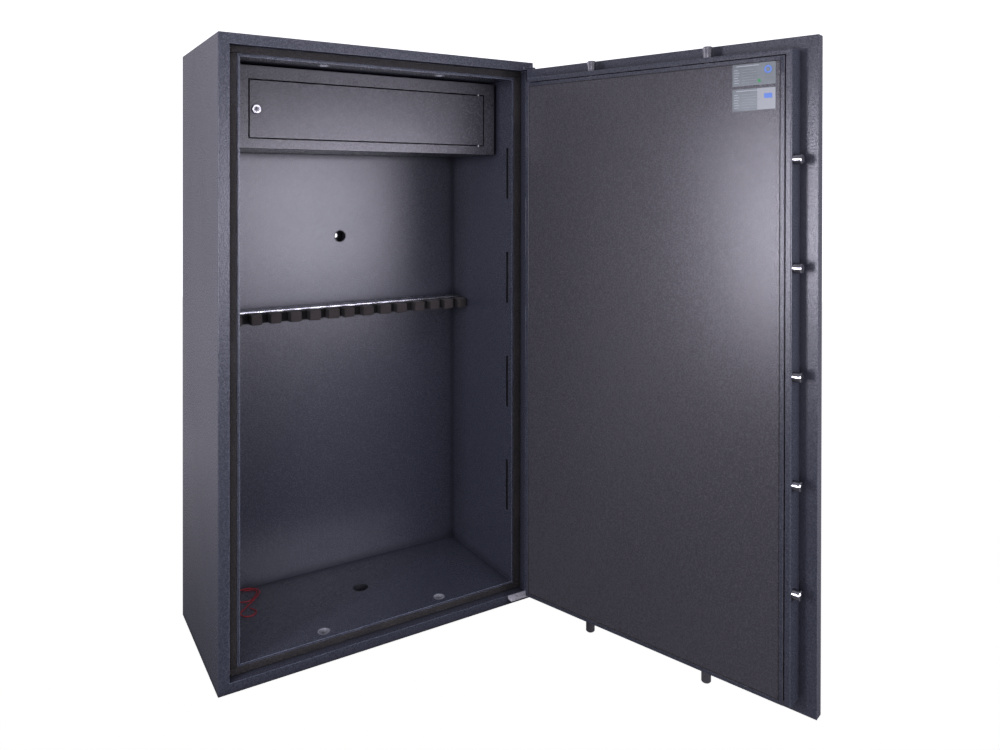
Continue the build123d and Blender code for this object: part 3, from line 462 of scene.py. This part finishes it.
def bar(x_from_left, z_down, wid, hgt, top, thick=0.00018):
    x1 = phi.x - x_from_left
    return soft_box((x1 - wid, yf - 0.00002, top - z_down - hgt), (x1, yf + thick, top - z_down), 0.00008, 1)


def disc(x_from_left, z_down, r, top, inner=0.0, thick=0.00022):
    bm = bmesh.new()
    n = 40
    cx, cz = phi.x - x_from_left, top - z_down
    rings = []
    for y in (yf - 0.00002, yf + thick):
        rings.append([bm.verts.new((cx + r * math.cos(2 * math.pi * k / n), y, cz + r * math.sin(2 * math.pi * k / n))) for k in range(n)])
    if inner:
        for y in (yf - 0.00002, yf + thick):
            rings.append([bm.verts.new((cx + inner * math.cos(2 * math.pi * k / n), y, cz + inner * math.sin(2 * math.pi * k / n))) for k in range(n)])
    for k in range(n):
        j = (k + 1) % n
        bm.faces.new((rings[0][k], rings[0][j], rings[1][j], rings[1][k]))
        if inner:
            bm.faces.new((rings[2][k], rings[3][k], rings[3][j], rings[2][j]))
            bm.faces.new((rings[1][k], rings[1][j], rings[3][j], rings[3][k]))
            bm.faces.new((rings[0][k], rings[2][k], rings[2][j], rings[0][j]))
    if not inner:
        bm.faces.new(rings[1])
        bm.faces.new(list(reversed(rings[0])))
    return bm


white, grey = [], []
for top, rows in ((upper, 6), (lower, 6)):
    white.append(bar(0.009, 0.0036, 0.052, 0.0016, top))
    for k in range(rows):
        white.append(bar(0.004, 0.012 + k * 0.0056, 0.009 + 0.003 * ((k * 2) % 3) / 2, 0.0013, top))
        grey.append(bar(0.022, 0.012 + k * 0.0056, 0.026 + 0.007 * (k % 3), 0.0010, top))
light = [bar(0.0570, 0.0012, 0.0402, 0.0450, lower, 0.00006)]
to_object(merge(light), "data_plate_blank", print_material("print_blank", (0.34, 0.36, 0.36), 0.30), "door", TO_OPEN, smooth=False)
to_object(merge(white), "data_plate_rules", WHITE, "door", TO_OPEN, smooth=False)
to_object(merge(grey), "data_plate_fields", GREY, "door", TO_OPEN, smooth=False)
to_object(merge([disc(0.081, 0.0155, 0.0085, upper, inner=0.0048), bar(0.0725, 0.0125, 0.018, 0.0105, lower)]), "data_plate_marks", BLUE, "door", TO_OPEN, smooth=False)
to_object(merge([disc(0.0613, 0.0383, 0.0036, upper)]), "data_plate_dot", GREEN, "door", TO_OPEN, smooth=False)

# ------------------------------------------------------------------ stage, light and camera
b0, b1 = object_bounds()
floor_me = bpy.data.meshes.new("floor")
bm = bmesh.new()
n = 48
rad = [0.0, 6.0, 9.0]
prof = [(0.0, 0.0), (7.0, 0.0), (8.2, 0.10), (9.2, 0.55), (9.9, 1.5), (10.2, 4.0), (10.2, 7.0)]
rings = []
for r, z in prof[1:]:
    rings.append([bm.verts.new((r * math.cos(2 * math.pi * k / n), r * math.sin(2 * math.pi * k / n), z - 0.0002)) for k in range(n)])
bm.faces.new(rings[0])
for a, b in zip(rings, rings[1:]):
    for k in range(n):
        j = (k + 1) % n
        bm.faces.new((a[k], a[j], b[j], b[k]))
bm.to_mesh(floor_me)
bm.free()
for p in floor_me.polygons:
    p.use_smooth = True
floor = bpy.data.objects.new("floor", floor_me)
bpy.context.scene.collection.objects.link(floor)
fm = Mat("studio_floor")
fa = fm.noise(3.0, 3.0, 0.5)
fb = fm.noise(160.0, 2.0, 0.5)
col = fm.mix(fm.remap(fa, 0.3, 0.7), (0.86, 0.86, 0.87), (0.90, 0.90, 0.90))
fm.set(Base_Color=col, Roughness=0.7, Normal=fm.bump(fb, 0.05, 0.0005), Specular_IOR_Level=0.2)
lp = fm.add("ShaderNodeLightPath")
em = fm.add("ShaderNodeEmission")
em.inputs["Color"].default_value = (1, 1, 1, 1)
em.inputs["Strength"].default_value = 1.0
addn = fm.add("ShaderNodeAddShader")
mixn = fm.add("ShaderNodeMixShader")
# painted reflection: glossy rays see the floor as a lilac glow, darkened close to the safe as a painted shadow
painted_reflection = fm.add("ShaderNodeEmission")
painted_reflection.inputs["Color"].default_value = (0.90, 0.86, 0.98, 1)
reflection_shadow_dist = fm.add("ShaderNodeVectorMath", operation="DISTANCE")
fm.put(reflection_shadow_dist.inputs[0], fm.co)
reflection_shadow_dist.inputs[1].default_value = (0.0, -0.15, 0.0)
fm.put(painted_reflection.inputs["Strength"], fm.remap(reflection_shadow_dist.outputs["Value"], 0.45, 1.9, 0.10, 0.44))
mixg = fm.add("ShaderNodeMixShader")
fm.t.links.new(lp.outputs["Is Glossy Ray"], mixg.inputs["Fac"])
fm.t.links.new(fm.b.outputs[0], mixg.inputs[1])
fm.t.links.new(painted_reflection.outputs[0], mixg.inputs[2])
out = fm.t.nodes["Material Output"]
fm.t.links.new(fm.b.outputs[0], addn.inputs[0])
fm.t.links.new(em.outputs[0], addn.inputs[1])
fm.t.links.new(lp.outputs["Is Camera Ray"], mixn.inputs["Fac"])
fm.t.links.new(mixg.outputs[0], mixn.inputs[1])
fm.t.links.new(addn.outputs[0], mixn.inputs[2])
fm.t.links.new(mixn.outputs[0], out.inputs["Surface"])
floor_me.materials.append(fm.m)

world = bpy.data.worlds.new("studio")
bpy.context.scene.world = world
world.use_nodes = True
wt = world.node_tree
bg = wt.nodes["Background"]
bg.inputs["Color"].default_value = (0.88, 0.87, 1.0, 1)
bg.inputs["Strength"].default_value = 0.42
bg2 = wt.nodes.new("ShaderNodeBackground")
bg2.inputs["Color"].default_value = (1, 1, 1, 1)
bg2.inputs["Strength"].default_value = 1.0
wl = wt.nodes.new("ShaderNodeLightPath")
wm = wt.nodes.new("ShaderNodeMixShader")
wt.links.new(wl.outputs["Is Camera Ray"], wm.inputs["Fac"])
wt.links.new(bg.outputs[0], wm.inputs[1])
wt.links.new(bg2.outputs[0], wm.inputs[2])
wt.links.new(wm.outputs[0], wt.nodes["World Output"].inputs["Surface"])


def area(name, loc, target, sx, sy, power, colour=(1, 1, 1), spread=math.pi):
    li = bpy.data.lights.new(name, "AREA")
    li.shape = "RECTANGLE"
    li.size, li.size_y = sx, sy
    li.energy = power
    li.color = colour
    li.spread = spread
    o = bpy.data.objects.new(name, li)
    bpy.context.scene.collection.objects.link(o)
    o.location = loc
    o.rotation_euler = (Vector(target) - Vector(loc)).to_track_quat("-Z", "Y").to_euler()
    return o


TINT = (0.88, 0.85, 1.0)
area("key_right", (0.86, -2.75, 0.97), (-0.02, 0.16, 1.05), 1.25, 0.85, 44, TINT)
area("strip_left", (-1.76, -0.85, 0.98), (0.60, -0.94, 1.05), 0.32, 0.95, 26, TINT)
area("top_fill", (-0.3, -1.6, 3.3), (0.0, 0.0, 0.4), 2.2, 1.8, 34, TINT)
area("front_left_fill", (-2.3, -3.2, 1.05), (0.3, 0.0, 0.6), 1.6, 1.6, 41, TINT)
area("back_left_card", (-2.6, 2.2, 1.3), (-0.5, 0.0, 0.8), 2.6, 2.6, 16, TINT)
area("rear_fill", (1.4, 2.6, 2.2), (0.0, 0.2, 0.8), 2.0, 1.6, 16, TINT)

CAM = Vector((-0.83424, -2.09522, 1.14737))
yaw, pitch, roll = math.radians(32.3), math.radians(0.25), math.radians(-0.09)
fwd = Vector((math.sin(yaw) * math.cos(pitch), math.cos(yaw) * math.cos(pitch), -math.sin(pitch)))
right = Vector((math.cos(yaw), -math.sin(yaw), 0.0))
down = fwd.cross(right)
right, down = right * math.cos(roll) + down * math.sin(roll), down * math.cos(roll) - right * math.sin(roll)
cam_data = bpy.data.cameras.new("camera")
cam = bpy.data.objects.new("camera", cam_data)
bpy.context.scene.collection.objects.link(cam)
rot = Matrix((right, -down, -fwd)).transposed()
cam.matrix_world = Matrix.Translation(CAM) @ rot.to_4x4()
cam_data.sensor_fit = "HORIZONTAL"
cam_data.sensor_width = 36.0
cam_data.lens = 806.39 / 1000.0 * 36.0
cam_data.clip_start, cam_data.clip_end = 0.05, 60.0
bpy.context.scene.camera = cam
# The lens shift belongs to the photograph's viewpoint only: away from it, the drivers turn it off.
for attr, val in (("shift_x", (500.0 - 511.75) / 1000.0), ("shift_y", (192.13 - 375.0) / 1000.0)):
    setattr(cam_data, attr, val)
    dr = cam_data.driver_add(attr).driver
    dr.type = "SCRIPTED"
    var = dr.variables.new()
    var.name = "cy"
    var.type = "TRANSFORMS"
    var.targets[0].id = cam
    var.targets[0].transform_type = "LOC_Y"
    var.targets[0].transform_space = "WORLD_SPACE"
    dr.expression = "%.6f if abs(cy + 2.09522) < 0.002 else 0.0" % val

bpy.context.scene.view_settings.view_transform = "Standard"
bpy.context.scene.view_settings.look = "None"
